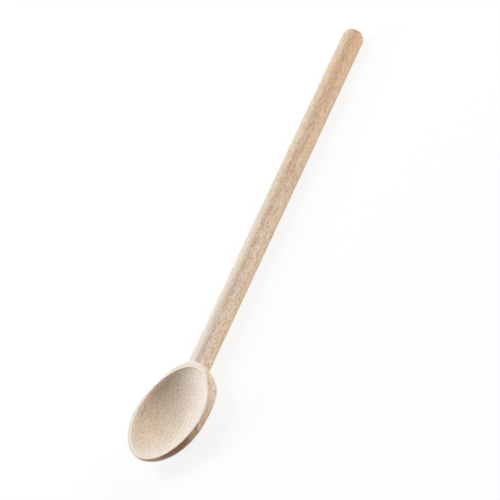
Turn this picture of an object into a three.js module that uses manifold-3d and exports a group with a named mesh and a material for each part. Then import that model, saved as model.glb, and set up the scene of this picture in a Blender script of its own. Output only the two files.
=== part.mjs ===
// A one-piece wooden cooking spoon: an oval bowl, hollowed from above, on a straight round handle.
//
// Sizes are in millimetres and angles in degrees. The spoon lies on its back, as it does on a table, with
// its rim level: the keel of the bowl and the end of the handle touch z = 0, and the handle points along +X.
// It is shaped with its rim in the plane z = 0 and the widest part of its bowl at x = 0, and then set down.

import * as THREE from "three";
import { mergeVertices } from "three/addons/utils/BufferGeometryUtils.js";
import Module from "manifold-3d";

const wasm = await Module();
wasm.setup();

// Whole spoon
const overallLength = 300;

// Outside of the bowl
const bowlTipLength = 31.7; // from the widest part to the tip
const bowlNeckLength = 32.7; // from the widest part to where the oval closes inside the handle
const bowlWidth = 46.6;
const bowlDepth = 14.8; // from the rim down to the lowest point of the keel
const keelOffset = 7.3; // the keel is lowest this far behind the widest part, towards the handle
const keelTuck = 0.4; // where the oval closes, the keel lies this far inside the handle's underside
const sideDrop = 0.5; // each side is widest on a line this far under the rim
const sideFall = 7.3; // behind the widest part that line falls away from the rim at this angle
const sectionFullness = 2.15; // exponent of the cross-section: 2 is an ellipse, and more is fuller

// Hollow of the bowl
const hollowLength = 57;
const hollowWidth = 42.7;
const hollowDepth = 10.6;

// Handle
const handleDiameter = 12.5;
const handleTopDrop = 0.15; // where it leaves the bowl, its top lies this far under the rim
const handleEndRounding = 4.2; // length of the rounded stretch at its end
const handleEndFlat = 6.7; // diameter of the flat that the rounding leaves

// Fineness of the facets
const bowlSteps = 36; // from the tip to the neck
const bowlSides = 48;
const hollowSteps = 28;
const hollowSides = 40;
const handleSides = 32;
const roundingSteps = 5;

const handleRadius = handleDiameter / 2;
const neckUnderside = handleTopDrop + handleDiameter; // depth of the handle's underside where it leaves the bowl
const handleEnd = overallLength - bowlTipLength;

function solidOf(geometry) {
  geometry.deleteAttribute("normal");
  geometry.deleteAttribute("uv");
  const merged = mergeVertices(geometry);
  const triangles = [];
  for (let i = 0; i < merged.index.count; i += 3) {
    const corners = [0, 1, 2].map((k) => merged.index.getX(i + k));
    if (new Set(corners).size === 3) triangles.push(...corners);
  }
  const mesh = new wasm.Mesh({
    numProp: 3,
    vertProperties: Float32Array.from(merged.attributes.position.array),
    triVerts: Uint32Array.from(triangles),
  });
  return new wasm.Manifold(mesh);
}

function geometryOf(solid) {
  const mesh = solid.getMesh();
  const geometry = new THREE.BufferGeometry();
  geometry.setAttribute("position", new THREE.BufferAttribute(mesh.vertProperties, 3));
  geometry.setIndex(new THREE.BufferAttribute(mesh.triVerts, 1));
  const faceted = geometry.toNonIndexed();
  faceted.computeVertexNormals();
  return faceted;
}

// A unit sphere with its poles on the X axis, so that its rings become the cross-sections of what it is made into
function ringedSphere(sides, steps) {
  return new THREE.SphereGeometry(1, sides, steps).rotateZ(-Math.PI / 2);
}

// Depth of the keel under the rim: an elliptical sweep up to the tip, and an easy rise into the handle
function keelDepth(x) {
  if (x < keelOffset) {
    const towardsTip = (keelOffset - x) / (keelOffset + bowlTipLength);
    return bowlDepth * Math.sqrt(Math.max(0, 1 - towardsTip ** 2));
  }
  const towardsNeck = THREE.MathUtils.smoothstep(x, keelOffset, bowlNeckLength);
  return THREE.MathUtils.lerp(bowlDepth, neckUnderside - keelTuck, towardsNeck);
}

// Depth under the rim of the line along which the sides are widest
function sideDepth(x) {
  return sideDrop + Math.max(0, x) * Math.tan(THREE.MathUtils.degToRad(sideFall));
}

// The outside of the bowl before its top is planed off. Each ring of the sphere becomes a cross-section that is
// as wide as the oval at its station, reaches down to the keel, and crowns as high as the handle does.
function bowlOutside() {
  const geometry = ringedSphere(bowlSides, bowlSteps);
  const position = geometry.attributes.position;
  const corner = new THREE.Vector3();
  for (let i = 0; i < position.count; i += 1) {
    corner.fromBufferAttribute(position, i);
    const x = corner.x * (corner.x < 0 ? bowlTipLength : bowlNeckLength);
    const ring = Math.hypot(corner.y, corner.z);
    const widest = sideDepth(x);
    const turned = ring > 1e-6 ? [corner.y / ring, corner.z / ring] : [0, 0];
    const [across, up] = turned.map((part) => Math.sign(part) * Math.abs(part) ** (2 / sectionFullness));
    const height = up > 0 ? handleRadius : Math.max(0, keelDepth(x) - widest);
    position.setXYZ(i, x, (bowlWidth / 2) * ring * across, height * up - widest);
  }
  return solidOf(geometry);
}

// A round stick from inside the bowl to the end of the spoon, with its rounded end. It slopes down just enough
// for its end to lie on the table when the bowl does.
function handle() {
  const rounding = handleRadius - handleEndFlat / 2;
  const straightEnd = handleEnd - handleEndRounding;
  const start = hollowLength / 2 - handleDiameter;
  const profile = [new THREE.Vector2(0, start), new THREE.Vector2(handleRadius, start)];
  for (let i = 0; i <= roundingSteps; i += 1) {
    const turn = (i / roundingSteps) * (Math.PI / 2);
    const radius = handleRadius - rounding * (1 - Math.cos(turn));
    profile.push(new THREE.Vector2(radius, straightEnd + handleEndRounding * Math.sin(turn)));
  }
  profile.push(new THREE.Vector2(0, handleEnd));
  const slope = Math.atan2(bowlDepth - neckUnderside, straightEnd - bowlNeckLength);
  const stick = new THREE.LatheGeometry(profile, handleSides).rotateZ(-Math.PI / 2);
  stick.translate(-bowlNeckLength, 0, 0).rotateY(slope);
  return solidOf(stick.translate(bowlNeckLength, 0, -handleTopDrop - handleRadius));
}

// What the plane takes off to leave the flat rim
function planedAway() {
  const length = bowlTipLength + bowlNeckLength;
  const slab = new THREE.BoxGeometry(2 * length, 2 * bowlWidth, 2 * handleDiameter);
  return solidOf(slab.translate(0, 0, handleDiameter));
}

// What the gouge takes out: a flattened ellipsoid, cut to half by the rim
function hollow() {
  const geometry = ringedSphere(hollowSides, hollowSteps);
  return solidOf(geometry.scale(hollowLength / 2, hollowWidth / 2, hollowDepth));
}

const beech = new THREE.MeshStandardMaterial({ color: 0xdcc3a2, roughness: 0.62, metalness: 0 });
const shaped = bowlOutside().add(handle()).subtract(planedAway()).subtract(hollow());
const spoon = new THREE.Mesh(geometryOf(shaped), beech);
spoon.name = "spoon";
spoon.position.set(bowlTipLength - overallLength / 2, 0, bowlDepth);

const part = new THREE.Group();
part.add(spoon);

export default part;
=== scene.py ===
"""A plain beech cooking spoon, lying on a pale table and seen from over the tip of its bowl."""

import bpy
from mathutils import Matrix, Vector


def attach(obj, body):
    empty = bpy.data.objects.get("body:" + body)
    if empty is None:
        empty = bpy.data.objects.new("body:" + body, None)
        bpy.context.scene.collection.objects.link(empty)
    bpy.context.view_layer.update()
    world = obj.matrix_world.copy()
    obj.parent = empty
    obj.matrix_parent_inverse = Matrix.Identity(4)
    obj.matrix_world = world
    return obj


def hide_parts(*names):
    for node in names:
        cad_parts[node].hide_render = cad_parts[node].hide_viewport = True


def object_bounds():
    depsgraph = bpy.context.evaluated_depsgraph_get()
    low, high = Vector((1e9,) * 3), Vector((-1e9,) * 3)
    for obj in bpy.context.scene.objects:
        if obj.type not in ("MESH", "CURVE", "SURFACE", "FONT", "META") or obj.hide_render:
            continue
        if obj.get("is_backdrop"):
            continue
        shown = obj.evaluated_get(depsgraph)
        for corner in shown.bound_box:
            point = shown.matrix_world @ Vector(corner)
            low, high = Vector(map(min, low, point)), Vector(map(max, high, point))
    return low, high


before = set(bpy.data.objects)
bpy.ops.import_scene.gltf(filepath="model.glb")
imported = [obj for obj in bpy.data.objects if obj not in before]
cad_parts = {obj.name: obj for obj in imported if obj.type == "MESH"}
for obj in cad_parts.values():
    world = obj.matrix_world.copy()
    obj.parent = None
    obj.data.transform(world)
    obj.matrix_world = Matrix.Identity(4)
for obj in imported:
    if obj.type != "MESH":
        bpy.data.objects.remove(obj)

import ast
from math import ceil, cos, radians, sin

import bpy
from mathutils import Matrix, Vector

cad_low, cad_high = (Vector(corner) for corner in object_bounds())
MM = 0.001

# Sizes of the spoon in millimetres, and its angles in degrees. A fullness is the exponent of a curve, where
# 2 is an ellipse. The main sizes are the solid's own, and the others follow the photograph more closely
# inside the same box.
SIZES = {
    "Overall length": 299.99,
    "Bowl tip length": 31.7,
    "Bowl neck length": 32.7,
    "Bowl width": 46.6,
    "Bowl depth": 14.8,
    "Keel offset": 7.3,
    "Keel tuck": 0.4,
    "Side drop": 0.9,
    "Side fall": 8.6,
    "Side fall length": 19.0,
    "Side fall easing": 4.0,
    "Section fullness": 1.95,
    "Neck fullness": 2.3,
    "Shoulder turn": 49.5,
    "Shoulder reach": 27.0,
    "Shoulder edge": 1.0,
    "Hollow length": 58.4,
    "Hollow width": 42.2,
    "Hollow depth": 10.6,
    "Hollow fullness": 1.92,
    "Hollow shift to the tip": 0.45,
    "Hollow shift to the right": 0.25,
    "Handle diameter": 12.5,
    "Handle end diameter": 11.9,
    "Handle top drop": 0.15,
    "Handle end rounding": 4.0,
    "Handle end flat": 7.5,
    "Neck fillet": 1.6,
    "Sanded edge": 0.35,
    "Hollow edge": 0.25,
}

# Fineness of its mesh: the size of a facet in millimetres, and how many times as long it is on the handle,
# from just behind the neck to just before the end. The margin round the mesh is given in facets.
MESH_STEP = 0.36
HANDLE_STRETCH = 4
STRETCH_START = 8.0
STRETCH_END = 8.0
MARGIN_STEPS = 3

# How the mesh is drawn onto the true face: by the slope over this many millimetres, in this many passes
SLOPE_NUDGE = 0.02
FITTING_PASSES = 3

# Camera, fitted to the photograph: angles in degrees, lengths in metres, and lens and sensor in millimetres
CAMERA_AZIMUTH = -40.77
CAMERA_ELEVATION = 38.09
CAMERA_ROLL = -37.31
CAMERA_DISTANCE = 2.4634
CAMERA_TARGET = (-0.00552, 0.00141, 0.00852)
CAMERA_LENS = 331.1
SENSOR_WIDTH = 36.0

# Lamps: azimuth and elevation in degrees, watts, and width and height in metres
LAMPS = {
    "softbox_overhead": (180, 60, 13.5, 1.0, 1.0),
    "softbox_beyond_the_handle": (60, 18, 10.0, 0.4, 0.4),
    "second_softbox_beyond_the_handle": (75, 26, 5.1, 0.4, 0.4),
    "softbox_on_the_left": (210, 22, 8.7, 0.5, 0.4),
    "softbox_behind": (150, 30, 4.0, 0.5, 0.5),
    "strip_on_the_right": (0, 3, 5.2, 1.2, 0.1),
    "card_before_the_tip": (315, 40, 3.6, 1.0, 1.0),
}
LAMP_DISTANCE = 1.5
SKY_STRENGTH = 0.02

# Table: half of its side in metres, and the share of the light and shadow on it that the camera sees
TABLE_REACH = 3.0
SHADOW_SEEN = 0.15


def linear(code):
    """An sRGB hex colour as the linear colour that a shader takes."""
    parts = [int(code[i : i + 2], 16) / 255 for i in (1, 3, 5)]
    return [p / 12.92 if p <= 0.04045 else ((p + 0.055) / 1.055) ** 2.4 for p in parts] + [1.0]


def add_node(tree, kind, inputs=(), **settings):
    """Adds a node, sets its properties, and links or fills its inputs, given in order or by name."""
    node = tree.nodes.new(kind)
    for name, value in settings.items():
        setattr(node, name, value)
    for key, value in inputs.items() if isinstance(inputs, dict) else enumerate(inputs):
        if isinstance(value, bpy.types.NodeSocket):
            tree.links.new(value, node.inputs[key])
        else:
            node.inputs[key].default_value = value
    return node


SIGNS = {ast.Add: "ADD", ast.Sub: "SUBTRACT", ast.Mult: "MULTIPLY", ast.Div: "DIVIDE", ast.Pow: "POWER"}


def formula(tree, text, values):
    """Writes a line of arithmetic as nodes and gives back the socket of its result.

    A word with brackets, such as maximum(a, b), is the Math node's operation of that name. The word
    ramp(a, start, end) rises from 0 to 1 as a goes from start to end, and is level beyond them.
    """

    def result(part):
        if isinstance(part, ast.Constant):
            return part.value
        if isinstance(part, ast.Name):
            return values[part.id]
        if isinstance(part, ast.UnaryOp) and isinstance(part.operand, ast.Constant):
            return -part.operand.value
        if isinstance(part, ast.UnaryOp):
            operation, operands = "MULTIPLY", [part.operand, ast.Constant(-1.0)]
        elif isinstance(part, ast.BinOp):
            operation, operands = SIGNS[type(part.op)], [part.left, part.right]
        else:
            operation, operands = part.func.id.upper(), part.args
        inputs = [result(operand) for operand in operands]
        if operation == "RAMP":
            return add_node(tree, "ShaderNodeMapRange", inputs).outputs[0]
        return add_node(tree, "ShaderNodeMath", inputs, operation=operation).outputs[0]

    return result(ast.parse(text).body[0].value)


def work_out(tree, lines, values):
    """Works through lines of the form name = formula, adding each name to the values."""
    for line in lines.strip().splitlines():
        name, text = line.split("=", 1)
        values[name.strip()] = formula(tree, text.strip(), values)


# How far a point lies outside the spoon, in millimetres. x runs from the widest part of the bowl towards the
# handle's end, and z = 0 is the rim. The smallest numbers keep a division away from zero.
SPOON_DISTANCE = """
    neck_side = greater_than(x, 0)
    length = bowl_tip_length + (bowl_neck_length - bowl_tip_length) * neck_side
    plan_fullness = 2 + (neck_fullness - 2) * neck_side
    along = absolute(x) / length
    room = 1 - along ** plan_fullness
    falling = smooth_min(maximum(x, 0), side_fall_length, side_fall_easing)
    widest = side_drop + falling * tangent(radians(side_fall))
    to_tip = minimum(maximum((keel_offset - x) / (keel_offset + bowl_tip_length), 0), 1)
    to_neck = minimum(maximum((x - keel_offset) / (bowl_neck_length - keel_offset), 0), 1)
    ease = to_neck * to_neck * (3 - 2 * to_neck)
    neck_keel = handle_top_drop + handle_diameter - keel_tuck
    keel = bowl_depth * sqrt(1 - to_tip * to_tip) + (neck_keel - bowl_depth) * ease
    under = less_than(z + widest, 0)
    handle_radius = handle_diameter / 2
    height = under * maximum(keel - widest, 0.05) + (1 - under) * handle_radius
    lift = sqrt(maximum(room, 0.0001)) / height
    half_width = bowl_width / 2
    across = absolute(y) / half_width
    upward = absolute(z + widest) * lift
    level = (across ** section_fullness + upward ** section_fullness) ** (2 / section_fullness) - room
    steep_y = across ** (section_fullness - 1) / half_width
    steep_z = upward ** (section_fullness - 1) * lift
    steep_x = along ** (plan_fullness - 1) / length
    steep = 2 * sqrt(steep_x * steep_x + steep_y * steep_y + steep_z * steep_z)
    oval = level / maximum(steep, 0.001)
    turn = radians(shoulder_turn)
    shoulder = x * cosine(turn) + absolute(y) * sine(turn) - shoulder_reach
    bowl = smooth_max(oval, shoulder, shoulder_edge)
    straight = overall_length - bowl_tip_length - bowl_neck_length - handle_end_rounding
    thinner = (handle_diameter - handle_end_diameter) / 2
    drop = arctan2(bowl_depth - handle_top_drop - handle_diameter + thinner, straight)
    from_neck = x - bowl_neck_length
    from_axis = z + handle_top_drop + handle_radius
    reach = from_neck * cosine(drop) - from_axis * sine(drop)
    rise = from_neck * sine(drop) + from_axis * cosine(drop)
    rounding = handle_radius - handle_end_flat / 2
    beyond = maximum(reach - straight, 0) * rounding / handle_end_rounding
    thinning = thinner * minimum(maximum(reach / straight, 0), 1)
    outward = maximum(sqrt(y * y + rise * rise) - handle_end_flat / 2 + thinning, 0)
    stick = sqrt(beyond * beyond + outward * outward) - rounding
    handle = maximum(stick, hollow_length / 2 - handle_diameter - x)
    whole = smooth_min(bowl, handle, neck_fillet)
    planed = smooth_max(whole, z, sanded_edge)
    gouge_x = absolute(x + hollow_shift_to_the_tip) / (hollow_length / 2)
    gouge_y = absolute(y + hollow_shift_to_the_right) / (hollow_width / 2)
    gouge_z = absolute(z) / hollow_depth
    gouge_sum = gouge_x ** hollow_fullness + gouge_y ** hollow_fullness + gouge_z ** hollow_fullness
    gouge = gouge_sum ** (1 / hollow_fullness)
    fade_x = gouge_x ** (hollow_fullness - 1) / (hollow_length / 2)
    fade_y = gouge_y ** (hollow_fullness - 1) / (hollow_width / 2)
    fade_z = gouge_z ** (hollow_fullness - 1) / hollow_depth
    fade = sqrt(fade_x * fade_x + fade_y * fade_y + fade_z * fade_z)
    hollow = (gouge - 1) * gouge ** (hollow_fullness - 1) / maximum(fade, 0.001)
    spoon = smooth_max(planed, -hollow, hollow_edge)
"""


def add_sizes(tree):
    """Gives a tree an input for each size of the spoon."""
    for name, size in SIZES.items():
        socket = tree.interface.new_socket(name, in_out="INPUT", socket_type="NodeSocketFloat")
        socket.default_value = size


def distance_tree():
    """The node group that measures how far a point, in metres, lies outside the spoon, in millimetres."""
    tree = bpy.data.node_groups.new("Distance from the spoon", "GeometryNodeTree")
    tree.interface.new_socket("Point", in_out="INPUT", socket_type="NodeSocketVector")
    add_sizes(tree)
    for name in ("Distance", "Distance from the hollow", "Height over the rim"):
        tree.interface.new_socket(name, in_out="OUTPUT", socket_type="NodeSocketFloat")
    given = add_node(tree, "NodeGroupInput").outputs
    values = {name.lower().replace(" ", "_"): given[name] for name in SIZES}
    point = add_node(tree, "ShaderNodeSeparateXYZ", [given["Point"]]).outputs
    values.update(point_x=point[0], point_y=point[1], point_z=point[2])
    placed = """
        x = point_x * 1000 + overall_length / 2 - bowl_tip_length
        y = point_y * 1000
        z = point_z * 1000 - bowl_depth
    """
    work_out(tree, placed, values)
    work_out(tree, SPOON_DISTANCE, values)
    add_node(tree, "NodeGroupOutput", [values["spoon"], values["hollow"], values["z"]])
    return tree


def face_tree():
    """The node group that finds the way from a point to the spoon's face, and where that face looks."""
    measure = distance_tree()
    tree = bpy.data.node_groups.new("Face of the spoon", "GeometryNodeTree")
    tree.interface.new_socket("Point", in_out="INPUT", socket_type="NodeSocketVector")
    add_sizes(tree)
    tree.interface.new_socket("Distance", in_out="OUTPUT", socket_type="NodeSocketFloat")
    tree.interface.new_socket("Offset", in_out="OUTPUT", socket_type="NodeSocketVector")
    tree.interface.new_socket("Normal", in_out="OUTPUT", socket_type="NodeSocketVector")
    tree.interface.new_socket("Distance from the hollow", in_out="OUTPUT", socket_type="NodeSocketFloat")
    tree.interface.new_socket("Height over the rim", in_out="OUTPUT", socket_type="NodeSocketFloat")
    given = add_node(tree, "NodeGroupInput").outputs
    sizes = {name: given[name] for name in SIZES}
    nudge = SLOPE_NUDGE * MM
    found = []
    for step in [(0, 0, 0), (nudge, 0, 0), (0, nudge, 0), (0, 0, nudge)]:
        point = add_node(tree, "ShaderNodeVectorMath", [given["Point"], step], operation="ADD").outputs[0]
        inputs = {"Point": point, **sizes}
        found.append(add_node(tree, "GeometryNodeGroup", inputs, node_tree=measure).outputs)
    here = found[0][0]
    rises = [formula(tree, "there - here", {"there": there[0], "here": here}) for there in found[1:]]
    slope = add_node(tree, "ShaderNodeCombineXYZ", rises).outputs[0]
    normal = add_node(tree, "ShaderNodeVectorMath", [slope], operation="NORMALIZE").outputs[0]
    steep = add_node(tree, "ShaderNodeVectorMath", [slope], operation="LENGTH").outputs["Value"]
    back = formula(tree, "-here * nudge / steep", {"here": here, "steep": steep, "nudge": nudge})
    scaled = {0: normal, "Scale": back}
    offset = add_node(tree, "ShaderNodeVectorMath", scaled, operation="SCALE").outputs[0]
    add_node(tree, "NodeGroupOutput", [here, offset, normal, found[0][1], found[0][2]])
    return tree


# Which face of the spoon a point is on, from 0 to 1. In millimetres, hollow is its distance from the face
# of the hollow, and rim its height over the rim. forward, sideward and upward say where the face looks.
FACES = {
    "gouged": "ramp(absolute(hollow), 0.4, 0)",
    "planed": "ramp(absolute(rim), 0.5, 0) * ramp(upward, 0.8, 0.95)",
    "end_grain": "absolute(forward)",
    "rim_line": "ramp(absolute(hollow - 1.5), 0.45, 0)",
    # Just inside the rim, where the hollow's wall is steep; the wood's material paints shade there
    "hollow_edge": "ramp(rim, -1.2, 0)",
    # A thin band of the outer wall just under the rim, where shade is painted
    "under_rim": "ramp(absolute(rim + 0.6), 0.6, 0) * ramp(absolute(hollow), 0, 0.6)",
    "tip_face": "ramp(-2 * forward - 4 * absolute(sideward), 0, 1) * ramp(absolute(hollow), 0, 0.4)",
    # The outer wall where it looks towards the tip, most on the right: end grain, with painted shade
    "tip_grain": "ramp(forward, -0.2, -0.5) * maximum(ramp(sideward, -0.15, -0.55), 0.3)"
    " * ramp(absolute(hollow), 0, 0.4)",
}


def spoon_tree(wood):
    """The node tree that makes the spoon: a skin round the wood, drawn onto the wood's true face."""
    face = face_tree()
    tree = bpy.data.node_groups.new("Spoon", "GeometryNodeTree")
    add_sizes(tree)
    tree.interface.new_socket("Geometry", in_out="OUTPUT", socket_type="NodeSocketGeometry")
    given = add_node(tree, "NodeGroupInput").outputs
    sizes = {name: given[name] for name in SIZES}
    position = add_node(tree, "GeometryNodeInputPosition").outputs[0]

    # The handle is shortened before it gets its skin and drawn out again afterwards, so its facets are long
    start = cad_low.x + (SIZES["Bowl tip length"] + SIZES["Bowl neck length"] + STRETCH_START) * MM
    reach = (cad_high.x - STRETCH_END * MM - start) / HANDLE_STRETCH
    parts = add_node(tree, "ShaderNodeSeparateXYZ", [position]).outputs
    values = {"x": parts[0], "start": start, "reach": reach, "more": HANDLE_STRETCH - 1}
    drawn = formula(tree, "x + more * minimum(maximum(x - start, 0), reach)", values)
    drawn = add_node(tree, "ShaderNodeCombineXYZ", [drawn, parts[1], parts[2]]).outputs[0]
    stretched = {"Point": drawn, **sizes}
    outside = add_node(tree, "GeometryNodeGroup", stretched, node_tree=face).outputs["Distance"]
    inside = formula(tree, "-outside", {"outside": outside})
    margin = Vector([MARGIN_STEPS * MESH_STEP * MM] * 3)
    low, high = cad_low - margin, cad_high + margin
    high.x -= (HANDLE_STRETCH - 1) * reach
    block = {"Density": inside, "Background": -1.0, "Min": low, "Max": high}
    for axis, side in zip("XYZ", high - low):
        block[f"Resolution {axis}"] = ceil(side / (MESH_STEP * MM))
    block = add_node(tree, "GeometryNodeVolumeCube", block).outputs[0]
    skin = add_node(tree, "GeometryNodeVolumeToMesh", {"Volume": block, "Threshold": 0.0}).outputs[0]
    skin = add_node(tree, "GeometryNodeSetPosition", {"Geometry": skin, "Position": drawn}).outputs[0]

    # Each pass moves the skin nearer to the true face
    found = add_node(tree, "GeometryNodeGroup", {"Point": position, **sizes}, node_tree=face).outputs
    for _ in range(FITTING_PASSES):
        onto = {"Geometry": skin, "Offset": found["Offset"]}
        skin = add_node(tree, "GeometryNodeSetPosition", onto).outputs[0]
    skin = add_node(tree, "GeometryNodeSetShadeSmooth", [skin]).outputs[0]

    # The wood's material reads these marks
    facing = add_node(tree, "ShaderNodeSeparateXYZ", [found["Normal"]]).outputs
    values = {"forward": facing[0], "sideward": facing[1], "upward": facing[2]}
    values.update(hollow=found["Distance from the hollow"], rim=found["Height over the rim"])
    marks = {name: ("FLOAT", formula(tree, text, values)) for name, text in FACES.items()}
    marks["face_normal"] = ("FLOAT_VECTOR", found["Normal"])
    for name, (kind, value) in marks.items():
        mark = {"Geometry": skin, "Name": name, "Value": value}
        settings = {"data_type": kind, "domain": "POINT"}
        skin = add_node(tree, "GeometryNodeStoreNamedAttribute", mark, **settings).outputs[0]
    real = add_node(tree, "GeometryNodeRealizeInstances", [skin]).outputs[0]
    finished = add_node(tree, "GeometryNodeSetMaterial", {"Geometry": real, "Material": wood}).outputs[0]
    add_node(tree, "NodeGroupOutput", [finished])
    return tree


def make_spoon(wood):
    """The whole spoon as one plain mesh, with the directions of its true face."""
    tree = spoon_tree(wood)
    maker = bpy.data.objects.new("spoon_maker", bpy.data.meshes.new("spoon_maker"))
    bpy.context.scene.collection.objects.link(maker)
    nodes = maker.modifiers.new("Spoon", "NODES")
    nodes.node_group = tree
    for socket in tree.interface.items_tree:
        if socket.in_out == "INPUT":
            nodes[socket.identifier] = SIZES[socket.name]
    ready = maker.evaluated_get(bpy.context.evaluated_depsgraph_get())
    mesh = bpy.data.meshes.new_from_object(ready)
    bpy.data.objects.remove(maker)
    mesh.name = "beech_spoon"
    normals = [corner.vector.copy() for corner in mesh.attributes["face_normal"].data]
    mesh.normals_split_custom_set_from_vertices(normals)
    mesh.attributes.remove(mesh.attributes["face_normal"])
    spoon = bpy.data.objects.new("beech_spoon", mesh)
    bpy.context.scene.collection.objects.link(spoon)
    return spoon


# Grain of the wood: each pattern's size in millimetres along the grain, across it and downwards. Real fibres
# and rays are a few hundredths or tenths of a millimetre wide, and are drawn as coarse as they need to show.
MOTTLE_SIZE = (24, 4, 4)
STREAK_SIZE = (70, 2.0, 2.0)
FIBRE_SIZE = (4, 0.7, 0.7)
SPECK_SIZE = (1.4, 0.45, 0.45)
FLECK_SIZE = (3.2, 0.8, 1.3)

# Growth rings, in millimetres: their width, their middle to the left of the spoon and over the table, and
# the size and reach of their ripples. The fibres and flecks wander more widely.
RING_WIDTH = 1.15
PITH = (75, 42)
RIPPLE_SIZE, RIPPLE_REACH = (16, 4, 4), 0.4
WANDER_SIZE, WANDER_REACH = (90, 30, 30), 5

# Fineness of the noise in these patterns, and in the specks
NOISE_DETAIL = 2.0
SPECK_DETAIL = 1.0

# In millimetres from the middle of the spoon, the wood is pale up to the first and warmest from the second
PALE_END, WARM_END = -70, 120

# The surface after sanding: the depth of its relief in millimetres, how much of it shows, and its soft sheen
RELIEF_DEPTH = 0.12
RELIEF_STRENGTH = 0.35
SHEEN_WEIGHT = 0.25
SHEEN_ROUGHNESS = 0.5
WOOD_IOR = 1.5


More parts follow.
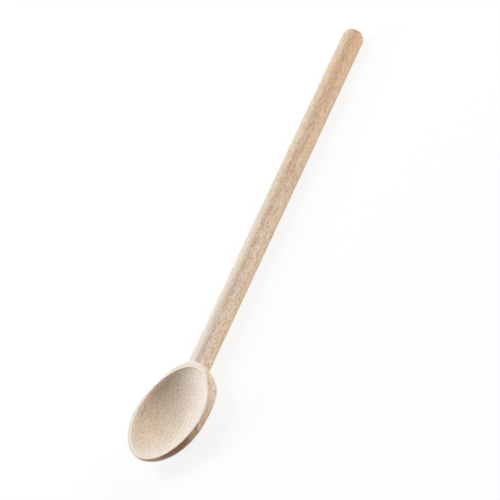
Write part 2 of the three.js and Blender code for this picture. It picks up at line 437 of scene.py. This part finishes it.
def beech():
    """Beech, cut along the grain and sanded, without varnish.

    The eye sees a matt pinkish tan, paler beside the bowl. Faint growth rings show as darker lines where a
    face cuts across them, and end grain is darker. The many short brown flecks are the ends of the rays.
    Light and
    shade are also painted into its colour: highlights on the upper left of the handle, on the rim and on the
    lit half of the hollow, a dark core along the handle, light on the handle's lower right, and shade inside
    the rim, under it and on the outer wall towards the tip.
    """
    material = bpy.data.materials.new("sanded_beech")
    material.use_nodes = True
    tree = material.node_tree
    shader = tree.nodes["Principled BSDF"]

    # Places on the spoon, in millimetres
    scaled = {0: add_node(tree, "ShaderNodeTexCoord").outputs["Object"], "Scale": 1 / MM}
    place = add_node(tree, "ShaderNodeVectorMath", scaled, operation="SCALE").outputs[0]

    def pattern(kind, sizes, inputs, source=place):
        """A texture with features of these sizes."""
        scale = [1 / size for size in sizes]
        scaled = add_node(tree, "ShaderNodeMapping", {"Vector": source, "Scale": scale}).outputs[0]
        return add_node(tree, kind, {"Vector": scaled, "Scale": 1.0, **inputs}).outputs

    def shifted(sizes, reach):
        """Places moved about by up to half this reach."""
        drift = pattern("ShaderNodeTexNoise", sizes, {"Detail": NOISE_DETAIL})["Color"]
        middle = (0.5, 0.5, 0.5)
        drift = add_node(tree, "ShaderNodeVectorMath", [drift, middle], operation="SUBTRACT").outputs[0]
        scaled = {0: drift, "Scale": reach}
        drift = add_node(tree, "ShaderNodeVectorMath", scaled, operation="SCALE").outputs[0]
        return add_node(tree, "ShaderNodeVectorMath", [place, drift], operation="ADD").outputs[0]

    grown = shifted(WANDER_SIZE, WANDER_REACH)
    rippled = add_node(tree, "ShaderNodeSeparateXYZ", [shifted(RIPPLE_SIZE, RIPPLE_REACH)]).outputs
    parts = add_node(tree, "ShaderNodeSeparateXYZ", [place]).outputs
    values = {"x": parts[0], "y": parts[1], "z": parts[2], "ring_y": rippled[1], "ring_z": rippled[2]}
    values.update(pith_y=PITH[0], pith_z=PITH[1], ring=RING_WIDTH, pale_end=PALE_END, warm_end=WARM_END)
    noises = {
        "mottle": (MOTTLE_SIZE, NOISE_DETAIL),
        "streak": (STREAK_SIZE, NOISE_DETAIL),
        "fibre": (FIBRE_SIZE, NOISE_DETAIL),
        "speck": (SPECK_SIZE, SPECK_DETAIL),
    }
    for name, (sizes, detail) in noises.items():
        values[name] = pattern("ShaderNodeTexNoise", sizes, {"Detail": detail}, grown)[0]
    cells = pattern("ShaderNodeTexVoronoi", FLECK_SIZE, {}, grown)
    values["to_middle"] = cells["Distance"]
    values["chance"] = add_node(tree, "ShaderNodeSeparateColor", [cells["Color"]]).outputs[0]
    for name in FACES:
        values[name] = add_node(tree, "ShaderNodeAttribute", attribute_name=name).outputs["Fac"]

    # Growth rings, each darker towards its outside, and broader dark spells, about one in two rings
    work_out(tree, """
        years = sqrt((ring_y - pith_y) ** 2 + (ring_z - pith_z) ** 2) / ring
        late = fract(years) ** 6
        spell = fract(years / 2.2) ** 3
    """, values)

    # Marks of the grain
    work_out(tree, """
        grey = ramp(mottle, 0.45, 0.7)
        pink = ramp(mottle, 0.5, 0.25)
        streaked = ramp(streak, 0.45, 0.7)
        dark_fibre = ramp(fibre, 0.48, 0.68)
        light_fibre = ramp(fibre, 0.5, 0.3)
        dash = ramp(speck, 0.5, 0.7)
        fleck = ramp(to_middle, 0.4, 0.2) * ramp(chance, 0.25, 0.75)
    """, values)

    # The height of the handle's axis, which falls from the neck to the end. From that axis, across runs up
    # and to the left, and behind runs down and to the left.
    end = SIZES["Overall length"] / 2
    neck = SIZES["Bowl tip length"] + SIZES["Bowl neck length"] - end
    neck_axis = SIZES["Bowl depth"] - SIZES["Handle top drop"] - SIZES["Handle diameter"] / 2
    axis_fall = (neck_axis - SIZES["Handle end diameter"] / 2) / (end - neck)
    values.update(neck=neck, neck_axis=neck_axis, axis_fall=axis_fall)
    work_out(tree, """
        axis = neck_axis - axis_fall * (x - neck)
        across = (y + z - axis) / sqrt(2)
        behind = (y - z + axis) / sqrt(2)
    """, values)

    # Stretches of colour on the handle, which lead a little way onto the bowl. The warmth along its length
    # and the darker end face are the wood's own. The rest follow the handle's round section as painted light
    # and shade: a painted highlight on its upper left and left edge, a painted sheen near the neck, a
    # painted dark core between them, painted light on its lower right and right edge, and painted shade on
    # its lower right brink.
    work_out(tree, """
        outside = (1 - gouged) * (1 - planed)
        stick = ramp(x + 2 * maximum(y - 6.5, 0), -95, -85) * outside
        warm = ramp(x, pale_end, warm_end)
        side = ramp(across, 3, -5)
        faded = maximum(ramp(behind, 3.6, 0.6), 0.35)
        paleness = maximum(0.97 - 1.35 * warm, 0.15) * faded * stick
        pale_side = ramp(across, 1.4 + warm, 4.2 + warm) * paleness
        band = maximum(1 - ((across - 1.6 + 1.3 * warm) / 3) ** 2, 0) * stick
        pale_streak = maximum(1 - ((across + 0.9) / 1.7) ** 2, 0) * maximum(1 - 1.6 * warm, 0) * stick
        left_edge = ramp(across, 1.6, 4.6) * minimum(0.7 * warm, 0.3) * stick
        right_edge = ramp(across, -2.5, -5.5) * stick
        brink = ramp(across, -5, -6) * minimum(warm, 0.5) * stick
        end_face = ramp(end_grain, 0.25, 0.55) * warm * outside
    """, values)

    # Stretches of colour on the bowl. The ramp across y marks the right half of the hollow, whose wall faces
    # the lamps: the hollow is painted paler there as a painted highlight, and warmer on its left half as a
    # painted tint of shade.
    work_out(tree, """
        sap = ramp(y, 10, -12)
        tipward = ramp(x, -118, -128)
        right_wall = ramp(y, -12, -18) * outside
        heart = right_wall * ramp(x, -110, -120)
        cut_rings = right_wall * ramp(x, -111, -114)
    """, values)

    # How strongly the marks show
    work_out(tree, """
        ring_shown = 0.08 + 0.2 * cut_rings + 0.2 * heart + 0.4 * tip_grain + 0.3 * end_grain * outside
        fibre_shown = 1 - 0.5 * pale_streak
        mark_shown = 1 - 0.6 * pale_side
        dash_shown = (0.65 - 0.3 * warm - gouged * (0.14 + 0.26 * sap)) * mark_shown
        fleck_shown = (0.52 - 0.17 * warm - 0.42 * planed - gouged * (0.25 + 0.24 * sap)) * mark_shown
    """, values)

    # Each layer covers those before it by its amount
    colour = linear("#e8d8c4")
    layers = [
        # Warmer towards the handle's end, which is the wood's own colour, and warmer towards its lower
        # right, which is painted light from the right
        ("0.05 + 0.45 * warm + 0.3 * side", "#eebd8e"),
        ("warm * 0.16", "#b58a62"),
        # A darker band along the handle, between its lit left and its lit right: a painted core shadow
        ("band * (0.22 + 0.28 * warm)", "#b38b68"),
        # Paler on the handle's lower right near the neck: painted light from the right
        ("side * (1 - warm) * 0.9", "#ffeccf"),
        # A pale greyish streak along the handle near the neck: a painted sheen
        ("pale_streak * 0.7", "#f6f0e6"),
        ("grey * 0.4", "#c4b096"),
        ("pink * (0.4 - 0.2 * gouged)", "#e6b894"),
        ("streaked * (0.3 - 0.1 * warm) * fibre_shown", "#c99f7a"),
        # The hollow's left half, whose wall lies in shade, is warmer: a painted tint of shade
        ("gouged * (1 - sap) * (0.35 + 0.15 * tipward)", "#f3d6b2"),
        # The hollow is paler: a little all over, which is the cut wood's own colour, and much more on its
        # right half and its end walls, which face the lamps, as a painted highlight
        ("gouged * minimum(0.12 + 0.8 * sap + end_grain * (0.3 + 0.5 * tipward), 0.95)", "#ede8e0"),
        ("(right_wall - heart) * 0.35", "#e0cbb8"),
        ("heart * 0.4", "#e0a978"),
        ("dark_fibre * (0.42 - 0.07 * warm - 0.32 * gouged) * fibre_shown", "#ad8058"),
        ("light_fibre * (0.5 - 0.1 * warm - 0.35 * gouged) * fibre_shown", "#f5e6d1"),
        # Darker brown on the outer wall towards the tip, most on its right: partly the end grain's own
        # colour, partly painted shade where that wall faces away from the lamps
        ("tip_grain * 0.9", "#7d512a"),
        ("tip_face * 0.8", "#cf9468"),
        ("spell * (0.1 + 0.04 * gouged * sap) * (1 - heart)", "#8a6446"),
        ("late * ring_shown", "#5c3d26"),
        ("spell * cut_rings * 0.5", "#5c3d26"),
        # Near white along the upper left of the handle, fading towards its end and underneath: a painted
        # highlight
        ("pale_side", "#f2ece2"),
        # A pale grey-green tint on the handle's lit left edge, towards its end: painted highlight colour
        ("left_edge", "#d2cdb4"),
        # Paler on the handle's lower right edge: painted light from the right
        ("right_edge * (0.7 - 0.4 * warm)", "#f7d8b0"),
        # A thin darker orange line on the handle's lower right brink: painted shade
        ("brink * 0.7", "#b5763f"),
        ("end_face * 0.75", "#8f6440"),
        ("dash * dash_shown", "#a87245"),
        # Darker brown just inside the rim on the hollow's left half: painted shade on the steep wall that
        # faces away from the lamps
        ("gouged * hollow_edge * (1 - sap) * 0.3", "#b98e66"),
        # A thin darker band on the outer wall just under the rim: painted shade
        ("under_rim * 0.25", "#a8845f"),
        # The rim is paler: partly the planed wood's own colour, partly a painted highlight on a face that
        # looks up
        ("planed * 0.9", "#ebe2d7"),
        ("planed * rim_line * 0.4", "#b5a795"),
        ("fleck * fleck_shown", "#a06c40"),
    ]
    for amount, layer in layers:
        mixed = {0: formula(tree, amount, values), 6: colour, 7: linear(layer)}
        colour = add_node(tree, "ShaderNodeMix", mixed, data_type="RGBA").outputs[2]
    tree.links.new(colour, shader.inputs["Base Color"])
    relief = {"Strength": RELIEF_STRENGTH, "Distance": RELIEF_DEPTH * MM}
    relief["Height"] = formula(tree, "fibre - 0.6 * fleck", values)
    tree.links.new(add_node(tree, "ShaderNodeBump", relief).outputs[0], shader.inputs["Normal"])
    rough = formula(tree, "0.6 + 0.2 * fibre", values)
    tree.links.new(rough, shader.inputs["Roughness"])
    shader.inputs["IOR"].default_value = WOOD_IOR
    shader.inputs["Sheen Weight"].default_value = SHEEN_WEIGHT
    shader.inputs["Sheen Roughness"].default_value = SHEEN_ROUGHNESS
    return material


def table():
    """The table that the spoon lies on, of smooth white card.

    Card is matt and has no grain, so the eye sees an even white. The spoon's shadow on it is kept faint.
    """
    mesh = bpy.data.meshes.new("table")
    reach = TABLE_REACH
    corners = [(-reach, -reach, 0), (reach, -reach, 0), (reach, reach, 0), (-reach, reach, 0)]
    mesh.from_pydata(corners, [], [(0, 1, 2, 3)])
    material = bpy.data.materials.new("white_card")
    material.use_nodes = True
    tree = material.node_tree
    card = tree.nodes["Principled BSDF"]
    card.inputs["Roughness"].default_value = 0.9
    rays = add_node(tree, "ShaderNodeLightPath").outputs
    kinds = {"camera": "Is Camera Ray", "gloss": "Is Glossy Ray", "glass": "Is Transmission Ray"}
    values = {name: rays[kind] for name, kind in kinds.items()}
    values["plain"] = 1 - SHADOW_SEEN
    work_out(tree, """
        seen = minimum(camera + gloss + glass, 1)
        whitened = plain * seen
    """, values)
    shade = {0: values["seen"], 6: linear("#d7d7d7"), 7: linear("#fafafa")}
    shade = add_node(tree, "ShaderNodeMix", shade, data_type="RGBA").outputs[2]
    tree.links.new(shade, card.inputs["Base Color"])
    white = add_node(tree, "ShaderNodeEmission", [linear("#ffffff"), 1.0]).outputs[0]
    both = add_node(tree, "ShaderNodeMixShader", [values["whitened"], card.outputs[0], white]).outputs[0]
    tree.links.new(both, tree.nodes["Material Output"].inputs["Surface"])
    mesh.materials.append(material)
    top = bpy.data.objects.new("table", mesh)
    bpy.context.scene.collection.objects.link(top)
    top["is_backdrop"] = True


def look_from(azimuth, elevation):
    """The unit vector that points from the spoon to something at this azimuth and elevation."""
    level = cos(radians(elevation))
    return Vector((sin(radians(azimuth)) * level, -cos(radians(azimuth)) * level, sin(radians(elevation))))


def studio():
    """Seven soft lamps round the spoon, and a faint even light from all over."""
    scene = bpy.context.scene
    scene.view_settings.view_transform = "Standard"
    scene.world = bpy.data.worlds.new("studio")
    scene.world.use_nodes = True
    sky = scene.world.node_tree.nodes["Background"]
    sky.inputs["Color"].default_value = linear("#ffffff")
    sky.inputs["Strength"].default_value = SKY_STRENGTH
    for name, (azimuth, elevation, watts, width, height) in LAMPS.items():
        lamp = bpy.data.lights.new(name, "AREA")
        lamp.shape = "RECTANGLE"
        lamp.size = width
        lamp.size_y = height
        lamp.energy = watts
        box = bpy.data.objects.new(name, lamp)
        away = look_from(azimuth, elevation)
        box.location = away * LAMP_DISTANCE
        box.rotation_euler = away.to_track_quat("Z", "Y").to_euler()
        scene.collection.objects.link(box)


def camera():
    """The camera at the photograph's viewing angle."""
    lens = bpy.data.cameras.new("camera")
    lens.sensor_width = SENSOR_WIDTH
    lens.lens = CAMERA_LENS
    eye = bpy.data.objects.new("camera", lens)
    back = look_from(CAMERA_AZIMUTH, CAMERA_ELEVATION)
    level = Vector((cos(radians(CAMERA_AZIMUTH)), sin(radians(CAMERA_AZIMUTH)), 0))
    upright = back.cross(level)
    roll = radians(CAMERA_ROLL)
    right = level * cos(roll) + upright * sin(roll)
    turned = Matrix((right, back.cross(right), back)).transposed().to_4x4()
    eye.matrix_world = Matrix.Translation(Vector(CAMERA_TARGET) + back * CAMERA_DISTANCE) @ turned
    bpy.context.scene.collection.objects.link(eye)
    bpy.context.scene.camera = eye


spoon = make_spoon(beech())
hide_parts("spoon")
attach(spoon, "root")
table()
studio()
camera()
